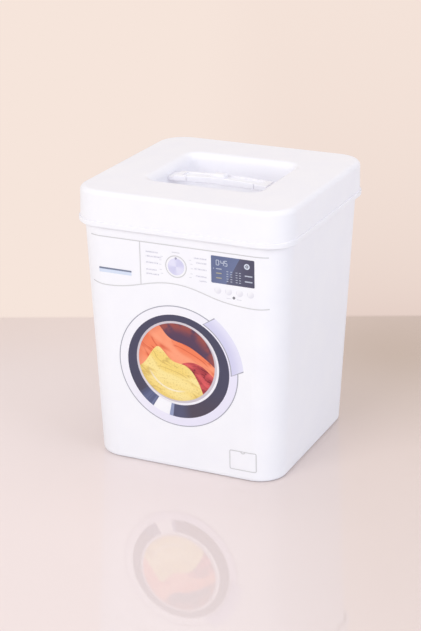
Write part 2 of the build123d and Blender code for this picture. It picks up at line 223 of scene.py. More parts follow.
class MarkSettings(bpy.types.PropertyGroup):
    """Fine marks that are printed over the inks."""

    ink_thickness: length_property("Ink thickness", "Height of the inks that the marks lie on", 0.12)
    mark_thickness: length_property("Mark thickness", "Height of a mark over what it lies on", 0.05)
    digit_height: length_property("Digit height", "Height of the screen's digits", 3.9)
    digit_width: length_property("Digit width", "Width of the screen's digits", 2.1)
    stroke: length_property("Stroke", "Width of the strokes of the digits", 0.42)
    bar_height: length_property("Bar height", "Height of the bars beside the lists", 0.75)
    dash_height: length_property("Dash height", "Height of the screen's small dashes", 0.55)
    list_bar: length_property("List bar", "Length of the bars at the screen's left", 4.6)
    right_bar: length_property("Right bar", "Length of the bars at the screen's right", 6.2)
    right_bar_height: length_property("Right bar height", "Height of those bars", 0.975)
    dash: length_property("Dash", "Length of the screen's small dashes", 1.5)
    sign_radius: length_property("Sign radius", "Outside of the ring in the screen's sign", 2.3)
    sign_hole: length_property("Sign hole", "Inside of the ring in the screen's sign", 1.2)
    sign_dot: length_property("Sign dot", "Width of the dot in the screen's sign", 1.0)
    leader: length_property("Leader", "Length of the dashes round the dial", 2.0)
    leader_height: length_property("Leader height", "Height of the dashes round the dial", 0.44)
    top_caption: length_property("Top caption", "Length of the bar over the dial", 6.6)
    lamp_bar: length_property("Lamp bar", "Length of the dashes beside the lamp", 4.0)
    bright: colour_property("Bright", "Digits and sign on the screen", 218, 225, 240)
    pale: colour_property("Pale", "Bars and dashes on the screen", 190, 196, 212)
    warm: colour_property("Warm", "Two of the bars on the screen", 186, 178, 148)
    faint: colour_property("Faint", "Marks on the white", 222, 221, 230)


class StageSettings(bpy.types.PropertyGroup):
    """Floor, light and camera."""

    table: colour_property("Table", "Floor under the box", 244, 230, 228)
    table_far: colour_property("Table, far", "Floor near the edge behind the box", 240, 222, 216)
    cast: colour_property("Cast", "Light that the floor throws back on the box", 247, 247, 248)
    backdrop: colour_property("Backdrop", "Floor behind the box", 246, 229, 219)
    # The two tints below darken the table and the backdrop into a painted shadow at the right behind the
    # box.
    table_painted_shadow: colour_property("Table shade", "Tint of the soft shade on the table", 202, 188, 165)
    backdrop_painted_shadow: colour_property("Backdrop shade", "Tint of that shade farther back", 220, 209, 209)
    edge_distance: length_property("Edge distance", "Where the floor's colour changes", 272.0)
    world_light: share_property("World light", "Strength of the even light from all sides", 0.59)
    key_power: power_property("Key power", "Large soft lamp at the front", 19.3)
    side_power: power_property("Side power", "Soft lamp at the right", 12.2)
    key_tint: colour_property("Key tint", "Colour of the front lamp", 255, 254, 252)
    side_tint: colour_property("Side tint", "Colour of the right lamp", 232, 240, 255)
    top_power: power_property("Top power", "Soft lamp over the box", 4.4)
    camera_place: bpy.props.FloatVectorProperty(
        name="Camera place", description="Where the camera stands", subtype="XYZ", unit="LENGTH",
        default=(0.5318, -1.1919, 0.5923),
    )
    camera_turn: angle_property("Camera turn", "Turn of the camera round the box", 24.51)
    camera_tilt: angle_property("Camera tilt", "How far the camera looks down", 20.56)
    camera_roll: angle_property("Camera roll", "Lean of the camera", -0.25)
    camera_lens: bpy.props.FloatProperty(
        name="Camera lens", description="Focal length", unit="CAMERA", default=97.98
    )


# Node trees

NODE_STEP = (220, 190)
VECTOR = "NodeSocketVector"
FLOAT = "NodeSocketFloat"
COLOUR = "NodeSocketColor"


def put(tree, kind, column, row, inputs=None, **settings):
    """Adds a node on a grid. An input is a value, or the socket that feeds it."""
    node = tree.nodes.new(kind)
    node.location = (column * NODE_STEP[0], -row * NODE_STEP[1])
    for name, value in settings.items():
        setattr(node, name, value)
    for name, value in (inputs or {}).items():
        socket = node.inputs[name]
        if isinstance(value, bpy.types.NodeSocket):
            tree.links.new(value, socket)
        else:
            socket.default_value = value
    return node


def sums(tree, operation, first, second, column, row):
    """Result of one step of arithmetic."""
    inputs = {0: first, 1: second}
    return put(tree, "ShaderNodeMath", column, row, inputs, operation=operation).outputs[0]


def blend(tree, share, first, second, column, row, way="MIX"):
    """Mix of two colours; a plain colour is given as red, green and blue."""
    inputs = {0: share}
    for index, value in ((6, first), (7, second)):
        inputs[index] = value if isinstance(value, bpy.types.NodeSocket) else (*value, 1.0)
    return put(tree, "ShaderNodeMix", column, row, inputs, data_type="RGBA", blend_type=way).outputs[2]


def rise(tree, value, low, high, column, row):
    """Smooth rise from 0 at low to 1 at high."""
    inputs = {"Value": value, "From Min": low, "From Max": high}
    node = put(tree, "ShaderNodeMapRange", column, row, inputs, interpolation_type="SMOOTHSTEP")
    return node.outputs["Result"]


def noise(tree, place, column, row, scale, detail, distortion=0.0):
    """Noise over a place."""
    inputs = {"Vector": place, "Scale": scale, "Detail": detail, "Distortion": distortion}
    return put(tree, "ShaderNodeTexNoise", column, row, inputs).outputs[0]


def vectors(tree, operation, first, second, column, row):
    """Results of one step of arithmetic with vectors."""
    inputs = {0: first, 1: second}
    return put(tree, "ShaderNodeVectorMath", column, row, inputs, operation=operation).outputs


def split(tree, vector, column, row):
    """The three parts of a vector."""
    return put(tree, "ShaderNodeSeparateXYZ", column, row, {0: vector}).outputs


def start_group(name, inputs, outputs):
    """New node group with its sockets; gives the tree, what comes in and what goes out."""
    tree = bpy.data.node_groups.new(name, "ShaderNodeTree")
    for socket_name, kind, default in inputs:
        socket = tree.interface.new_socket(socket_name, in_out="INPUT", socket_type=kind)
        if default is not None:
            socket.default_value = default
    for socket_name, kind in outputs:
        tree.interface.new_socket(socket_name, in_out="OUTPUT", socket_type=kind)
    entry = put(tree, "NodeGroupInput", 0, 0)
    leaving = put(tree, "NodeGroupOutput", 12, 0)
    return tree, entry.outputs, leaving.inputs


def use_group(tree, name, maker, column, row, inputs):
    """Places a node group in a tree; the group is made the first time it is asked for."""
    node_tree = bpy.data.node_groups.get(name) or maker(name)
    return put(tree, "ShaderNodeGroup", column, row, inputs, node_tree=node_tree).outputs


# Node groups


def make_front_place(name):
    """Place on the front in millimetres: across as X and up as Y."""
    tree, entry, leaving = start_group(name, [("Object", VECTOR, None)], [("Place", VECTOR)])
    inputs = {0: entry["Object"], "Scale": 1 / MM}
    scaled = put(tree, "ShaderNodeVectorMath", 1, 0, inputs, operation="SCALE")
    parts = split(tree, scaled.outputs[0], 2, 0)
    flat = put(tree, "ShaderNodeCombineXYZ", 3, 0, {"X": parts["X"], "Y": parts["Z"]})
    tree.links.new(flat.outputs[0], leaving["Place"])
    return tree


def make_round_place(name):
    """Distance from a middle in millimetres, and turn in degrees, anticlockwise from the right."""
    inputs = [("Place", VECTOR, None), ("Middle", VECTOR, (0, 0, 0))]
    tree, entry, leaving = start_group(name, inputs, [("Radius", FLOAT), ("Turn", FLOAT)])
    arm = vectors(tree, "SUBTRACT", entry["Place"], entry["Middle"], 1, 0)[0]
    length = put(tree, "ShaderNodeVectorMath", 2, 0, {0: arm}, operation="LENGTH")
    parts = split(tree, arm, 2, 1)
    angle = sums(tree, "ARCTAN2", parts["Y"], parts["X"], 3, 1)
    turn = put(tree, "ShaderNodeMath", 4, 1, {0: angle}, operation="DEGREES")
    tree.links.new(length.outputs["Value"], leaving["Radius"])
    tree.links.new(turn.outputs[0], leaving["Turn"])
    return tree


def make_box_field(name):
    """Mask of a rectangle on the front."""
    inputs = [("Place", VECTOR, None), ("Middle", VECTOR, (0, 0, 0)), ("Half", VECTOR, (1, 1, 1))]
    tree, entry, leaving = start_group(name, inputs, [("Mask", FLOAT)])
    arm = vectors(tree, "SUBTRACT", entry["Place"], entry["Middle"], 1, 0)[0]
    off = put(tree, "ShaderNodeVectorMath", 2, 0, {0: arm}, operation="ABSOLUTE").outputs[0]
    room = vectors(tree, "SUBTRACT", entry["Half"], off, 3, 0)[0]
    parts = split(tree, room, 4, 0)
    least = sums(tree, "MINIMUM", parts["X"], parts["Y"], 5, 0)
    tree.links.new(sums(tree, "GREATER_THAN", least, 0.0, 6, 0), leaving["Mask"])
    return tree


def make_band(name):
    """Mask that is 1 between two values, with soft sides."""
    inputs = [("Value", FLOAT, None), ("Low", FLOAT, 0.0), ("High", FLOAT, 1.0), ("Soft", FLOAT, 0.1)]
    tree, entry, leaving = start_group(name, inputs, [("Mask", FLOAT)])
    low_end = sums(tree, "SUBTRACT", entry["Low"], entry["Soft"], 1, 0)
    high_end = sums(tree, "ADD", entry["High"], entry["Soft"], 1, 1)
    above = rise(tree, entry["Value"], low_end, entry["Low"], 2, 0)
    below = rise(tree, entry["Value"], high_end, entry["High"], 2, 1)
    tree.links.new(sums(tree, "MULTIPLY", above, below, 3, 0), leaving["Mask"])
    return tree


def make_moulded_skin(name):
    """Fine mould grain, and the broad clouds of the plastic."""
    inputs = [("Object", VECTOR, None), ("Grain Scale", FLOAT, 2000.0), ("Cloud Scale", FLOAT, 45.0)]
    tree, entry, leaving = start_group(name, inputs, [("Height", FLOAT), ("Cloud", FLOAT)])
    fine = noise(tree, entry["Object"], 1, 0, scale=entry["Grain Scale"], detail=2.0)
    broad = noise(tree, entry["Object"], 1, 1, scale=entry["Cloud Scale"], detail=3.0)
    tree.links.new(fine, leaving["Height"])
    tree.links.new(rise(tree, broad, *CLOUD_RANGE, 3, 1), leaving["Cloud"])
    return tree


def make_print_grain(name):
    """Colour with the fine uneven tone of print, and the film's faint orange peel."""
    inputs = [("Place", VECTOR, None), ("Colour", COLOUR, None), ("Depth", FLOAT, 0.1)]
    tree, entry, leaving = start_group(name, inputs, [("Colour", COLOUR), ("Height", FLOAT)])
    dots = noise(tree, entry["Place"], 1, 0, scale=3.2, detail=2.0)
    tone = sums(tree, "SUBTRACT", dots, 0.5, 2, 0)
    tone = sums(tree, "MULTIPLY", tone, entry["Depth"], 3, 0)
    tone = sums(tree, "ADD", tone, 1.0, 4, 0)
    inputs = {0: entry["Colour"], "Scale": tone}
    toned = put(tree, "ShaderNodeVectorMath", 5, 0, inputs, operation="SCALE")
    peel = noise(tree, entry["Place"], 1, 1, scale=0.9, detail=1.0)
    tree.links.new(toned.outputs[0], leaving["Colour"])
    tree.links.new(peel, leaving["Height"])
    return tree


def make_cloth_folds(name):
    """Soft cloth: broad lit swells, thin broken creases and a fine weave."""
    inputs = [("Place", VECTOR, None), ("Lie", FLOAT, 0.0), ("Fold Scale", FLOAT, 0.06)]
    outputs = [("Light", FLOAT), ("Crease", FLOAT), ("Weave", FLOAT)]
    tree, entry, leaving = start_group(name, inputs, outputs)
    inputs = {"Vector": entry["Place"], "Angle": entry["Lie"]}
    turned = put(tree, "ShaderNodeVectorRotate", 1, 0, inputs, rotation_type="Z_AXIS").outputs[0]
    drawn = vectors(tree, "MULTIPLY", turned, FOLD_DRAW, 2, 0)[0]
    swell = noise(tree, drawn, 3, 0, scale=entry["Fold Scale"], detail=1.5, distortion=0.6)
    ridge_scale = sums(tree, "MULTIPLY", entry["Fold Scale"], RIDGE_SHARE, 2, 2)
    ridges = noise(tree, drawn, 3, 1, scale=ridge_scale, detail=1.0, distortion=0.4)
    off_middle = sums(tree, "SUBTRACT", ridges, 0.5, 4, 1)
    off_ridge = put(tree, "ShaderNodeMath", 5, 1, {0: off_middle}, operation="ABSOLUTE").outputs[0]
    broken = rise(tree, swell, *CREASE_BREAK, 5, 2)
    lines = sums(tree, "MULTIPLY", rise(tree, off_ridge, *CREASE_WIDTH, 6, 1), broken, 7, 1)
    fine = noise(tree, entry["Place"], 3, 3, scale=0.75, detail=4.0)
    tree.links.new(rise(tree, swell, *FOLD_LIGHT, 6, 0), leaving["Light"])
    tree.links.new(lines, leaving["Crease"])
    tree.links.new(rise(tree, fine, *WEAVE_RANGE, 6, 3), leaving["Weave"])
    return tree


def make_glass_edge(name):
    """Masks of the glass's bright edge at its lower right, and of a gleam along its lower left."""
    outputs = [("Edge", FLOAT), ("Gleam", FLOAT)]
    tree, entry, leaving = start_group(name, [("Place", VECTOR, None)], outputs)
    inputs = {"Place": entry["Place"], "Middle": GLASS_EDGE_MIDDLE}
    about = use_group(tree, "Round place", make_round_place, 1, 0, inputs)
    tree.links.new(rise(tree, about["Radius"], *GLASS_EDGE_REACH, 2, 0), leaving["Edge"])
    arc = band_mask(tree, about["Radius"], *GLEAM_REACH, 2, 1)
    reach = band_mask(tree, about["Turn"], *GLEAM_TURN, 2, 2)
    tree.links.new(sums(tree, "MULTIPLY", arc, reach, 3, 1), leaving["Gleam"])
    return tree


# Materials


def new_material(name):
    """Empty node material with its shader; gives the material, the tree and the shader."""
    material = bpy.data.materials.new(name)
    material.use_nodes = True
    tree = material.node_tree
    tree.nodes.clear()
    shader = put(tree, "ShaderNodeBsdfPrincipled", 14, 0)
    put(tree, "ShaderNodeOutputMaterial", 16, 0, {"Surface": shader.outputs[0]})
    return material, tree, shader


def white_plastic(settings):
    """White moulded plastic with a fine grain and milky clouds."""
    material, tree, shader = new_material("White moulded plastic")
    place = put(tree, "ShaderNodeTexCoord", 0, 0).outputs["Object"]
    inputs = {"Object": place, "Grain Scale": 1 / settings.grain, "Cloud Scale": 1 / settings.cloud}
    skin = use_group(tree, "Moulded skin", make_moulded_skin, 1, 0, inputs)
    tint = blend(tree, skin["Cloud"], settings.white, settings.milky, 3, 0)
    inputs = {0: skin["Cloud"], 1: CLOUD_DULLING, 2: settings.roughness}
    dull = put(tree, "ShaderNodeMath", 4, 1, inputs, operation="MULTIPLY_ADD")
    inputs = {"Height": skin["Height"], "Strength": PLASTIC_BUMP, "Distance": BUMP_DEPTH}
    bump = put(tree, "ShaderNodeBump", 4, 2, inputs)
    tree.links.new(tint, shader.inputs["Base Color"])
    tree.links.new(dull.outputs[0], shader.inputs["Roughness"])
    tree.links.new(bump.outputs[0], shader.inputs["Normal"])
    shader.inputs["Specular IOR Level"].default_value = PLASTIC_SPECULAR
    return material


def start_ink(name):
    """New ink; gives the material, its tree, its shader and the place on the front."""
    material, tree, shader = new_material(name)
    coordinates = put(tree, "ShaderNodeTexCoord", 0, 0).outputs["Object"]
    place = use_group(tree, "Front place", make_front_place, 1, 0, {"Object": coordinates})["Place"]
    return material, tree, shader, place


def finish_ink(tree, shader, place, colour, roughness, depth=0.1):
    """Lays the print's grain over an ink's colour and joins it to its shader."""
    inputs = {"Place": place, "Colour": colour, "Depth": depth}
    grain = use_group(tree, "Print grain", make_print_grain, 11, 0, inputs)
    inputs = {"Height": grain["Height"], "Strength": INK_BUMP, "Distance": BUMP_DEPTH}
    bump = put(tree, "ShaderNodeBump", 12, 2, inputs)
    tree.links.new(grain["Colour"], shader.inputs["Base Color"])
    tree.links.new(bump.outputs[0], shader.inputs["Normal"])
    shader.inputs["Roughness"].default_value = roughness
    shader.inputs["Specular IOR Level"].default_value = INK_SPECULAR


def band_mask(tree, value, low, high, soft, column, row):
    """Mask that is 1 between two values."""
    inputs = {"Value": value, "Low": low, "High": high, "Soft": soft}
    return use_group(tree, "Band", make_band, column, row, inputs)["Mask"]


def box_mask(tree, place, middle, half, column, row):
    """Mask of a rectangle on the front."""
    inputs = {"Place": place, "Middle": middle, "Half": half}
    return use_group(tree, "Box field", make_box_field, column, row, inputs)["Mask"]


def round_place(tree, place, middle, column, row):
    """Distance from a middle and turn about it."""
    inputs = {"Place": place, "Middle": middle}
    return use_group(tree, "Round place", make_round_place, column, row, inputs)


def grey_ink(ink):
    """Thin grey lines, with captions that break up into small strokes."""
    material, tree, shader, place = start_ink("Grey ink")
    left = box_mask(tree, place, CAPTIONS_LEFT, CAPTIONS_HALF, 2, 0)
    right = box_mask(tree, place, CAPTIONS_RIGHT, CAPTIONS_HALF, 2, 1)
    captions = sums(tree, "MAXIMUM", left, right, 3, 0)
    strokes = noise(tree, place, 3, 2, scale=1.15, detail=1.0)
    gaps = rise(tree, strokes, *CAPTION_GAPS, 4, 2)
    words = blend(tree, gaps, ink.caption_grey, ink.paper_white, 5, 1)
    colour = blend(tree, captions, ink.line_grey, words, 6, 0)
    finish_ink(tree, shader, place, colour, ink.roughness)
    return material


def pale_ink(ink):
    """Door ring that shades to its lower right, rim of the glass, and round buttons."""
    material, tree, shader, place = start_ink("Pale ink")
    about_door = round_place(tree, place, DOOR_MIDDLE, 2, 0)
    parts = split(tree, place, 2, 1)
    slant = sums(tree, "SUBTRACT", parts["X"], parts["Y"], 3, 1)
    shade = rise(tree, slant, *RING_SHADE, 4, 1)
    ring = blend(tree, shade, ink.ring_light, ink.ring_shade, 5, 1)
    near_glass = rise(tree, about_door["Radius"], *RIM_REACH, 4, 0)
    rim = blend(tree, shade, ink.glass_rim, ink.ring_light, 5, 0)
    colour = blend(tree, near_glass, ring, rim, 6, 0)
    high_up = rise(tree, parts["Y"], *BUTTON_LEVEL, 6, 2)
    inputs = {0: parts["X"], 1: BUTTON_STEP / 2, 2: -BUTTON_STEP / 2}
    within = put(tree, "ShaderNodeMath", 3, 3, inputs, operation="WRAP").outputs[0]
    domed = sums(tree, "SUBTRACT", within, parts["Y"], 4, 3)
    dome = rise(tree, domed, *BUTTON_DOME, 5, 3)
    buttons = blend(tree, dome, ink.button, ink.button_shade, 6, 3)
    colour = blend(tree, high_up, colour, buttons, 7, 0)
    finish_ink(tree, shader, place, colour, ink.roughness, depth=0.05)
    return material


def lilac_ink(ink):
    """Grip with a light outer side, and a turned dial with two light sectors."""
    material, tree, shader, place = start_ink("Lilac ink")
    about_door = round_place(tree, place, DOOR_MIDDLE, 2, 0)
    grip = rise(tree, about_door["Radius"], *GRIP_REACH, 3, 0)
    grip_colour = blend(tree, grip, ink.lilac_shade, ink.lilac_light, 4, 0)
    about_dial = round_place(tree, place, DIAL_MIDDLE, 2, 2)
    turn = put(tree, "ShaderNodeMath", 3, 2, {0: about_dial["Turn"]}, operation="RADIANS").outputs[0]
    twice = sums(tree, "MULTIPLY", turn, 2.0, 4, 2)
    wave = put(tree, "ShaderNodeMath", 5, 2, {0: twice}, operation="SINE")
    sectors = rise(tree, wave.outputs[0], *DIAL_SECTORS, 6, 2)
    dial_colour = blend(tree, sectors, ink.lilac_light, ink.lilac_shade, 7, 2)
    on_dial = rise(tree, about_dial["Radius"], *DIAL_REACH, 7, 1)
    colour = blend(tree, on_dial, grip_colour, dial_colour, 8, 0)
    finish_ink(tree, shader, place, colour, ink.roughness, depth=0.08)
    return material


def slate_ink(ink):
    """Dark ring, drum behind the glass, thin outlines, screen and slot."""
    material, tree, shader, place = start_ink("Slate ink")
    about_door = round_place(tree, place, DOOR_MIDDLE, 2, 0)
    about_glass = round_place(tree, place, GLASS_MIDDLE, 2, 1)
    parts = split(tree, place, 2, 2)
    low_down = rise(tree, parts["Y"], *RING_LOW_SIDE, 3, 2)
    ring = blend(tree, low_down, ink.slate, ink.slate_warm, 4, 2)
    streak = band_mask(tree, about_door["Turn"], *RING_STREAK, 3, 3)
    fading = band_mask(tree, about_door["Turn"], *RING_FADING, 3, 4)
    ring = blend(tree, sums(tree, "MULTIPLY", fading, FADING_SHARE, 4, 4), ring, ink.shine, 5, 2)
    ring = blend(tree, streak, ring, ink.shine_light, 5, 3)
    drum = slate_drum(tree, place, about_glass["Radius"], ink)
    inside = rise(tree, about_glass["Radius"], *DRUM_REACH, 6, 1)
    colour = blend(tree, inside, ring, drum, 7, 1)
    outline = rise(tree, about_door["Radius"], *OUTLINE_REACH, 7, 0)
    colour = blend(tree, outline, colour, ink.outline_grey, 8, 0)
    screen = box_mask(tree, place, SCREEN_MIDDLE, SCREEN_HALF, 8, 2)
    dusk = rise(tree, parts["X"], *SCREEN_DUSK, 8, 3)
    dark_side = blend(tree, dusk, ink.screen_dusk, ink.screen_dark, 9, 2)
    colour = blend(tree, screen, colour, dark_side, 9, 0)
    slot = box_mask(tree, place, SLOT_MIDDLE, SLOT_HALF, 9, 3)
    colour = blend(tree, slot, colour, ink.slot_dark, 10, 0)
    pointer = box_mask(tree, place, DIAL_MIDDLE, DIAL_HALF, 9, 4)
    colour = blend(tree, pointer, colour, ink.pointer_grey, 10, 1)
    lamp = box_mask(tree, place, LAMP_MIDDLE, LAMP_HALF, 9, 5)
    colour = blend(tree, lamp, colour, ink.lamp_grey, 10, 2)
    finish_ink(tree, shader, place, colour, ink.roughness)
    return material


def slate_drum(tree, place, radius, ink):
    """Colour of the drum: dark in its depth, with a red glow near the edge of the glass."""
    patches = noise(tree, place, 3, 6, scale=0.13, detail=3.0)
    near_edge = rise(tree, radius, *DRUM_GLOW_REACH, 3, 7)
    glow = sums(tree, "MULTIPLY", near_edge, rise(tree, patches, *GLOW_PATCHES, 4, 6), 5, 6)
    drum = blend(tree, glow, ink.drum, ink.drum_red, 6, 6)
    edge = use_group(tree, "Glass edge", make_glass_edge, 6, 7, {"Place": place})["Edge"]
    return blend(tree, edge, drum, ink.glass_rim, 7, 6)


def blue_ink(ink):
    """Shine on the dark ring, light side of the screen and lower band of the slot."""
    material, tree, shader, place = start_ink("Blue ink")
    about_door = round_place(tree, place, DOOR_MIDDLE, 2, 0)
    inputs = {"W": about_door["Turn"], "Scale": 0.2, "Detail": 1.0}
    streaks = put(tree, "ShaderNodeTexNoise", 3, 0, inputs, noise_dimensions="1D").outputs[0]
    bright = sums(tree, "MULTIPLY", rise(tree, streaks, *STREAK_RANGE, 4, 0), STREAK_SHARE, 5, 0)
    shine = blend(tree, bright, ink.shine, ink.shine_light, 6, 0)
    start = rise(tree, about_door["Turn"], *SHINE_START, 4, 1)
    shine = blend(tree, start, shine, ink.slate, 6, 1)
    screen = box_mask(tree, place, SCREEN_MIDDLE, SCREEN_HALF, 6, 2)
    parts = split(tree, place, 4, 3)
    inputs = {0: parts["Y"], 1: SCREEN_LEAN, 2: parts["X"]}
    slant = put(tree, "ShaderNodeMath", 5, 3, inputs, operation="MULTIPLY_ADD").outputs[0]
    lit = rise(tree, slant, *SCREEN_LIT, 6, 3)
    light_side = blend(tree, lit, ink.screen_blue, ink.screen_light, 7, 2)
    colour = blend(tree, screen, shine, light_side, 7, 0)
    slot = box_mask(tree, place, SLOT_MIDDLE, SLOT_HALF, 7, 2)
    colour = blend(tree, slot, colour, ink.slot_blue, 8, 0)
    finish_ink(tree, shader, place, colour, ink.roughness)
    return material


def cloth_ink(ink, cloth, lie, fold_scale, crease, weave):
    """Cloth behind the glass: lit swells, thin creases, its weave and the bright edge of the glass."""
    material, tree, shader, place = start_ink(f"{cloth.title()} ink")
    middle, light, deep = (getattr(ink, cloth + part) for part in ("", "_light", "_deep"))
    inputs = {"Place": place, "Lie": math.radians(lie), "Fold Scale": fold_scale}
    folds = use_group(tree, "Cloth folds", make_cloth_folds, 2, 0, inputs)
    colour = blend(tree, folds["Light"], middle, light, 4, 0)
    colour = blend(tree, sums(tree, "MULTIPLY", folds["Crease"], crease, 4, 1), colour, deep, 5, 0)
    colour = blend(tree, sums(tree, "MULTIPLY", folds["Weave"], weave, 4, 2), colour, deep, 6, 0)
    about_glass = round_place(tree, place, GLASS_MIDDLE, 4, 3)
    dim = rise(tree, about_glass["Radius"], *CLOTH_DIM_REACH, 5, 3)
    colour = blend(tree, sums(tree, "MULTIPLY", dim, CLOTH_DIMMING, 6, 3), colour, deep, 7, 0)
    glass = use_group(tree, "Glass edge", make_glass_edge, 7, 3, {"Place": place})
    gleam = sums(tree, "MULTIPLY", glass["Gleam"], GLEAM_SHARE, 8, 3)
    colour = blend(tree, gleam, colour, ink.paper_white, 9, 0)
    colour = blend(tree, glass["Edge"], colour, ink.glass_rim, 10, 0)
    finish_ink(tree, shader, place, colour, ink.roughness, depth=0.15)
    return material


def mark_ink(name, colour, roughness):
    """Plain small marks with the print's grain."""
    material, tree, shader, place = start_ink(name)
    tone = noise(tree, place, 2, 0, scale=1.7, detail=2.0)
    duller = tuple(MARK_DULLING * value for value in colour)
    shade = blend(tree, tone, colour, duller, 3, 0)
    finish_ink(tree, shader, place, shade, roughness)
    return material


INKS = {
    "print_grey": grey_ink,
    "print_pale": pale_ink,
    "print_lilac": lilac_ink,
    "print_slate": slate_ink,
    "print_blue": blue_ink,
}


def dress(node, material):
    """Gives a CAD node one material."""
    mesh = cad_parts[node].data
    mesh.materials.clear()
    mesh.materials.append(material)


# Marks on the front

FRONT_FACING = -0.9
BEVEL_STEPS = 2
RING_SIDES = 40


def front_wall():
    """Matrix from a flat drawing, across, up and out, to the tub's front wall."""
    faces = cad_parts["tub"].data.polygons
    front = [face for face in faces if face.normal.y < FRONT_FACING and face.center.y < 0]
    if not front:
        raise RuntimeError("the tub has no front wall to draw on")
    widest = max(front, key=lambda face: face.area)
    across = Vector((1, 0, 0))
    out = widest.normal.normalized()
    up = out.cross(across).normalized()
    middle = Vector((0, widest.center.y, widest.center.z))
    origin = middle - up * (middle.z / up.z)
    return Matrix.Translation(origin) @ Matrix((across, up, out)).transposed().to_4x4()


def deselect():
    """Leaves nothing selected."""
    bpy.ops.object.select_all(action="DESELECT")


def raise_mark(thickness):
    """Gives the flat mark in edit mode its thickness."""
    bpy.ops.mesh.select_all(action="SELECT")
    bpy.ops.mesh.extrude_region_move(TRANSFORM_OT_translate={"value": (0, 0, thickness)})
    bpy.ops.mesh.select_all(action="SELECT")
    bpy.ops.mesh.normals_make_consistent(inside=False)
    bpy.ops.object.mode_set(mode="OBJECT")


def new_bar(length, height, tip, thickness):
    """Flat bar with rounded corners, lying along X."""
    deselect()
    bpy.ops.mesh.primitive_plane_add(size=1.0)
    bpy.ops.object.mode_set(mode="EDIT")
    bpy.ops.transform.resize(value=(length, height, 1.0))
    bpy.ops.mesh.bevel(offset=tip, segments=BEVEL_STEPS, affect="VERTICES")
    raise_mark(thickness)
    return bpy.context.object


def new_ring(outer, inner, thickness):
    """Flat ring about the origin."""
    deselect()
    bpy.ops.mesh.primitive_circle_add(vertices=RING_SIDES, radius=outer, fill_type="NGON")
    bpy.ops.object.mode_set(mode="EDIT")
    bpy.ops.mesh.select_all(action="SELECT")
    bpy.ops.mesh.inset(thickness=outer - inner)
    bpy.ops.mesh.delete(type="FACE")
    raise_mark(thickness)
    return bpy.context.object


def copies(pattern, places, turn=0.0):
    """Copies of a mark at places on the drawing, each with its own mesh; the pattern goes."""
    made = []
    for across, up in places:
        twin = pattern.copy()
        twin.data = pattern.data.copy()
        twin.location = (across * MM, up * MM, 0)
        twin.rotation_euler = (0, 0, turn)
        bpy.context.scene.collection.objects.link(twin)
        made.append(twin)
    bpy.data.objects.remove(pattern)
    return made


def settle(name, marks, level, material):
    """Joins marks into one piece, lays it on the front wall and lets it ride on the tub."""
    deselect()
    for mark in marks:
        mark.select_set(True)
    bpy.context.view_layer.objects.active = marks[0]
    bpy.ops.object.transform_apply(location=True, rotation=True, scale=True)
    bpy.ops.object.join()
    piece = bpy.context.object
    piece.name = name
    piece.matrix_world = front_wall() @ Matrix.Translation((0, 0, level))
    bpy.ops.object.transform_apply(location=True, rotation=True, scale=True)
    piece.data.materials.clear()
    piece.data.materials.append(material)
    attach(piece, TUB_BODY)
    return piece


# Strokes that are lit in each digit of a seven-stroke display
DIGIT_STROKES = {
    "0": ("top", "bottom", "upper left", "upper right", "lower left", "lower right"),
    "4": ("middle", "upper left", "upper right", "lower right"),
    "5": ("top", "middle", "bottom", "upper left", "lower right"),
}
DIGITS = (("0", 33.4), ("4", 37.2), ("5", 40.2))
DIGIT_MIDDLE = 179.6
COLON_PLACES = ((35.3, 178.7), (35.3, 180.5))
LIST_BARS = ((34.4, 174.7),)
WARM_BARS = ((34.4, 171.2), (34.4, 167.4))
RIGHT_BARS = ((58.6, 171.9), (58.6, 167.4))
LIST_DOT = (30.2, 174.7)
DASH_COLUMNS = (41.4, 44.6, 48.9, 51.6)
DASH_ROWS = (173.4, 171.4, 169.5, 167.5, 165.6)
ICON_PLACE = (57.3, 179.4)
LEADER_LEFT = ((-13.0, 178.2), (-14.0, 175.2), (-14.4, 171.6), (-14.0, 167.4), (-13.0, 164.4))
LEADER_RIGHT = ((10.8, 178.2), (11.8, 175.2), (12.2, 171.6), (11.8, 167.4), (10.8, 164.4))
TOP_CAPTION = ((-1.1, 182.7),)
LAMP_BARS = ((42.2, 151.9), (50.6, 151.9))

# Bevel at the corners of a stroke or a bar, as a share of its height
STROKE_TIP = 0.4
BAR_TIP = 0.3


def digit_strokes(digit, across, marks):
    """Places of a digit's lit strokes: those that lie, and those that stand."""
    half_width = marks.digit_width / MM / 2
    half_height = marks.digit_height / MM / 2
    lying = {"top": half_height, "middle": 0.0, "bottom": -half_height}
    standing = {
        "upper left": (-half_width, half_height / 2),
        "upper right": (half_width, half_height / 2),
        "lower left": (-half_width, -half_height / 2),
        "lower right": (half_width, -half_height / 2),
    }
    strokes = DIGIT_STROKES[digit]
    flat = [(across, DIGIT_MIDDLE + lying[name]) for name in strokes if name in lying]
    lit = [standing[name] for name in strokes if name in standing]
    upright = [(across + aside, DIGIT_MIDDLE + up) for aside, up in lit]
    return flat, upright


# Stage: lengths in metres. The floor lies just under the base.

KEY_PLACE = (-0.6, -2.0, 1.05)
SIDE_PLACE = (2.0, -0.5, 0.85)
TOP_PLACE = (0.1, 0.1, 1.6)
LAMP_WIDTH = 1.3
TOP_LAMP_WIDTH = 1.0
SENSOR_WIDTH = 36.0  # in millimetres
WORLD_TINT = (1.0, 0.99, 1.0, 1.0)
EDGE_BLUR = 0.004
FLOOR_SIZE = 16.0
FLOOR_DROP = 0.0002
FLOOR_SPECULAR = 1.0
TABLE_ROUGHNESS = 0.04
BACKDROP_ROUGHNESS = 0.9
TABLE_CLOUDING = 0.97
FAR_START = 0.1

# Painted shadow on the floor, at the right behind the box: a darker tint that stands in for the box's
# soft shadow
PAINTED_SHADOW_PLACE = (0.08, 0.22, 0.05)
PAINTED_SHADOW_REACH = 0.12
PAINTED_SHADOW_SIDE = (-0.05, 0.12)


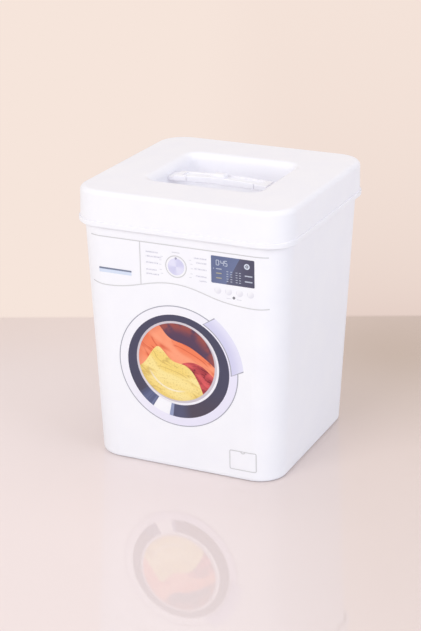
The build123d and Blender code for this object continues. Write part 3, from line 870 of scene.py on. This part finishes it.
def seen_ray(tree, column, row):
    """1 where a ray shows what it meets: to the camera, in a reflection or through something clear."""
    rays = put(tree, "ShaderNodeLightPath", column, row).outputs
    glossy, clear = rays["Is Glossy Ray"], rays["Is Transmission Ray"]
    mirrored = sums(tree, "MAXIMUM", glossy, clear, column + 1, row)
    return sums(tree, "MAXIMUM", rays["Is Camera Ray"], mirrored, column + 2, row)


def floor_material(stage):
    """Glossy pale table, plain backdrop colour behind a straight edge, and a painted soft shadow at the
    right.
    """
    material, tree, shader = new_material("Floor")
    place = put(tree, "ShaderNodeTexCoord", 0, 0).outputs["Object"]
    away = (-math.sin(stage.camera_turn), math.cos(stage.camera_turn), 0.0)
    depth = vectors(tree, "DOT_PRODUCT", place, away, 1, 0)["Value"]
    edge = stage.edge_distance
    behind = rise(tree, depth, edge - EDGE_BLUR, edge + EDGE_BLUR, 2, 0)
    cloud = noise(tree, place, 1, 1, scale=3.0, detail=2.0)
    darker = tuple(TABLE_CLOUDING * value for value in stage.table)
    table = blend(tree, cloud, stage.table, darker, 2, 1)
    far = rise(tree, depth, FAR_START, edge, 2, 2)
    table = blend(tree, far, table, stage.table_far, 3, 2)
    # Painted shadow: table and backdrop are tinted darker near a point at the right behind the box.
    right = (math.cos(stage.camera_turn), math.sin(stage.camera_turn), 0.0)
    across = vectors(tree, "DOT_PRODUCT", place, right, 1, 5)["Value"]
    reach = vectors(tree, "DISTANCE", place, PAINTED_SHADOW_PLACE, 1, 6)["Value"]
    fade = sums(tree, "DIVIDE", PAINTED_SHADOW_REACH, sums(tree, "ADD", reach, PAINTED_SHADOW_REACH, 2, 6), 3, 6)
    shade = sums(tree, "MULTIPLY", fade, rise(tree, across, *PAINTED_SHADOW_SIDE, 2, 5), 4, 6)
    table = blend(tree, shade, table, stage.table_painted_shadow, 5, 5, "MULTIPLY")
    backdrop = blend(tree, shade, stage.backdrop, stage.backdrop_painted_shadow, 5, 6, "MULTIPLY")
    seen = seen_ray(tree, 1, 4)
    colour = blend(tree, seen, stage.cast, blend(tree, behind, table, backdrop, 6, 0), 7, 0)
    inputs = {"Value": behind, "To Min": TABLE_ROUGHNESS, "To Max": BACKDROP_ROUGHNESS}
    dull = put(tree, "ShaderNodeMapRange", 3, 1, inputs)
    tree.links.new(colour, shader.inputs["Base Color"])
    tree.links.new(dull.outputs["Result"], shader.inputs["Roughness"])
    shader.inputs["Specular IOR Level"].default_value = FLOOR_SPECULAR
    even = put(tree, "ShaderNodeEmission", 14, 3, {"Color": backdrop, "Strength": 1.0})
    share = sums(tree, "MULTIPLY", behind, seen, 14, 4)
    inputs = {0: share, 1: shader.outputs[0], 2: even.outputs[0]}
    mixed = put(tree, "ShaderNodeMixShader", 15, 1, inputs)
    tree.links.new(mixed.outputs[0], tree.nodes["Material Output"].inputs["Surface"])
    return material


def add_floor(stage):
    """Wide floor at the box's base."""
    deselect()
    bpy.ops.mesh.primitive_plane_add(size=FLOOR_SIZE, location=(0, 0, -FLOOR_DROP))
    floor = bpy.context.object
    floor.name = "floor"
    floor.data.materials.append(floor_material(stage))


def set_world(stage):
    """Even light from all sides, with the backdrop's colour where it is seen."""
    world = bpy.data.worlds.new("Studio")
    world.use_nodes = True
    tree = world.node_tree
    tree.nodes.clear()
    seen = seen_ray(tree, -2, 0)
    light = put(tree, "ShaderNodeBackground", 1, 1, {"Color": WORLD_TINT, "Strength": stage.world_light})
    inputs = {"Color": (*stage.backdrop, 1.0), "Strength": 1.0}
    backdrop = put(tree, "ShaderNodeBackground", 1, 2, inputs)
    inputs = {0: seen, 1: light.outputs[0], 2: backdrop.outputs[0]}
    mixed = put(tree, "ShaderNodeMixShader", 2, 0, inputs)
    put(tree, "ShaderNodeOutputWorld", 3, 0, {"Surface": mixed.outputs[0]})
    bpy.context.scene.world = world


def add_lamp(name, place, size, power, tint):
    """Square soft lamp that faces the middle of the box."""
    middle = (cad_box[0] + cad_box[1]) / 2
    deselect()
    bpy.ops.object.light_add(type="AREA", location=place)
    lamp = bpy.context.object
    lamp.name = name
    lamp.data.size = size
    lamp.data.energy = power
    lamp.data.color = tint
    lamp.visible_glossy = False
    lamp.rotation_euler = (middle - Vector(place)).to_track_quat("-Z", "Y").to_euler()


def add_camera(stage):
    """Camera at its place, turned, tilted and rolled by the stage's angles."""
    turn, tilt = stage.camera_turn, stage.camera_tilt
    back = Vector((math.sin(turn) * math.cos(tilt), -math.cos(turn) * math.cos(tilt), math.sin(tilt)))
    right = Vector((math.cos(turn), math.sin(turn), 0.0))
    up = back.cross(right)
    axes = Matrix((right, up, back)).transposed().to_4x4()
    deselect()
    bpy.ops.object.camera_add()
    camera = bpy.context.object
    roll = Matrix.Rotation(stage.camera_roll, 4, "Z")
    camera.matrix_world = Matrix.Translation(stage.camera_place) @ axes @ roll
    camera.data.lens = stage.camera_lens
    camera.data.sensor_width = SENSOR_WIDTH
    bpy.context.scene.camera = camera


# Operators


class POWDERBOX_OT_finish_plastic(bpy.types.Operator):
    """Give the tub, the lid and the lid's handle their white moulded plastic"""

    bl_idname = "powderbox.finish_plastic"
    bl_label = "Finish Plastic"

    def execute(self, context):
        material = white_plastic(context.scene.powderbox_plastic)
        for node in PLASTIC_NODES:
            dress(node, material)
        return {"FINISHED"}


class POWDERBOX_OT_finish_inks(bpy.types.Operator):
    """Give each field of the printed front its ink"""

    bl_idname = "powderbox.finish_inks"
    bl_label = "Finish Inks"

    def execute(self, context):
        ink = context.scene.powderbox_ink
        for node, maker in INKS.items():
            dress(node, maker(ink))
        for cloth, folds in CLOTHS.items():
            dress(f"print_{cloth}", cloth_ink(ink, cloth, **folds))
        return {"FINISHED"}


class POWDERBOX_OT_add_screen_marks(bpy.types.Operator):
    """Print the digits, bars, dashes and sign on the screen"""

    bl_idname = "powderbox.add_screen_marks"
    bl_label = "Add Screen Marks"

    def execute(self, context):
        marks = context.scene.powderbox_marks
        roughness = context.scene.powderbox_ink.roughness
        bright = mark_ink("Bright mark", marks.bright, roughness)
        pale = mark_ink("Pale mark", marks.pale, roughness)
        warm = mark_ink("Warm mark", marks.warm, roughness)
        level = marks.ink_thickness
        thickness = marks.mark_thickness
        stroke = marks.stroke
        flat, upright = [], []
        for digit, across in DIGITS:
            lying, standing = digit_strokes(digit, across, marks)
            flat += lying
            upright += standing
        tip = stroke * STROKE_TIP
        digits = copies(new_bar(marks.digit_width, stroke, tip, thickness), flat)
        digits += copies(new_bar(marks.digit_height / 2, stroke, tip, thickness), upright, math.pi / 2)
        digits += copies(new_bar(stroke, stroke, tip, thickness), COLON_PLACES)
        settle("screen_digits", digits, level, bright)
        bar_tip = marks.bar_height * BAR_TIP
        bars = copies(new_bar(marks.list_bar, marks.bar_height, bar_tip, thickness), LIST_BARS)
        bars += copies(new_bar(marks.right_bar, marks.right_bar_height, bar_tip, thickness), RIGHT_BARS)
        bars += copies(new_bar(marks.bar_height, marks.bar_height, bar_tip, thickness), [LIST_DOT])
        settle("screen_bars", bars, level, pale)
        warm_bars = copies(new_bar(marks.list_bar, marks.bar_height, bar_tip, thickness), WARM_BARS)
        settle("screen_warm_bars", warm_bars, level, warm)
        grid = [(across, up) for across in DASH_COLUMNS for up in DASH_ROWS]
        dash_tip = marks.dash_height * BAR_TIP
        dashes = copies(new_bar(marks.dash, marks.dash_height, dash_tip, thickness), grid)
        settle("screen_dashes", dashes, level, pale)
        sign = copies(new_ring(marks.sign_radius, marks.sign_hole, thickness), [ICON_PLACE])
        dot_tip = marks.sign_dot * BAR_TIP
        sign += copies(new_bar(marks.sign_dot, marks.sign_dot, dot_tip, thickness), [ICON_PLACE])
        settle("screen_sign", sign, level, bright)
        return {"FINISHED"}


class POWDERBOX_OT_add_panel_marks(bpy.types.Operator):
    """Print the faint marks on the white round the dial and the lamp"""

    bl_idname = "powderbox.add_panel_marks"
    bl_label = "Add Panel Marks"

    def execute(self, context):
        marks = context.scene.powderbox_marks
        faint = mark_ink("Faint mark", marks.faint, context.scene.powderbox_ink.roughness)
        thickness = marks.mark_thickness
        height = marks.leader_height
        tip = height * BAR_TIP
        dashes = copies(new_bar(marks.leader, height, tip, thickness), LEADER_LEFT + LEADER_RIGHT)
        dashes += copies(new_bar(marks.top_caption, marks.bar_height, tip, thickness), TOP_CAPTION)
        dashes += copies(new_bar(marks.lamp_bar, height, tip, thickness), LAMP_BARS)
        settle("panel_dashes", dashes, 0.0, faint)
        return {"FINISHED"}


class POWDERBOX_OT_build_stage(bpy.types.Operator):
    """Lay the floor, set the soft light and stand the camera"""

    bl_idname = "powderbox.build_stage"
    bl_label = "Build Stage"

    def execute(self, context):
        stage = context.scene.powderbox_stage
        add_floor(stage)
        set_world(stage)
        add_lamp("Key lamp", KEY_PLACE, LAMP_WIDTH, stage.key_power, stage.key_tint)
        add_lamp("Side lamp", SIDE_PLACE, LAMP_WIDTH, stage.side_power, stage.side_tint)
        add_lamp("Top lamp", TOP_PLACE, TOP_LAMP_WIDTH, stage.top_power, stage.key_tint)
        add_camera(stage)
        context.scene.view_settings.view_transform = "Standard"
        return {"FINISHED"}


class POWDERBOX_PT_panel(bpy.types.Panel):
    """Steps that dress the box, in their order"""

    bl_idname = "POWDERBOX_PT_panel"
    bl_label = "Powder Box"
    bl_space_type = "VIEW_3D"
    bl_region_type = "UI"
    bl_category = "Powder Box"

    def draw(self, context):
        for operator in OPERATORS:
            self.layout.operator(operator.bl_idname)


SETTINGS = {
    "powderbox_plastic": PlasticSettings,
    "powderbox_ink": InkSettings,
    "powderbox_marks": MarkSettings,
    "powderbox_stage": StageSettings,
}
OPERATORS = (
    POWDERBOX_OT_finish_plastic,
    POWDERBOX_OT_finish_inks,
    POWDERBOX_OT_add_screen_marks,
    POWDERBOX_OT_add_panel_marks,
    POWDERBOX_OT_build_stage,
)


def register():
    """Registers the settings, the operators and the panel."""
    for name, settings in SETTINGS.items():
        bpy.utils.register_class(settings)
        setattr(bpy.types.Scene, name, bpy.props.PointerProperty(type=settings))
    for operator in OPERATORS:
        bpy.utils.register_class(operator)
    bpy.utils.register_class(POWDERBOX_PT_panel)


def unregister():
    """Takes the panel, the operators and the settings out again."""
    bpy.utils.unregister_class(POWDERBOX_PT_panel)
    for operator in reversed(OPERATORS):
        bpy.utils.unregister_class(operator)
    for name, settings in SETTINGS.items():
        delattr(bpy.types.Scene, name)
        bpy.utils.unregister_class(settings)


def main():
    """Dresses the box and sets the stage."""
    register()
    bpy.ops.powderbox.finish_plastic()
    bpy.ops.powderbox.finish_inks()
    bpy.ops.powderbox.add_screen_marks()
    bpy.ops.powderbox.add_panel_marks()
    bpy.ops.powderbox.build_stage()


if __name__ == "__main__":
    main()
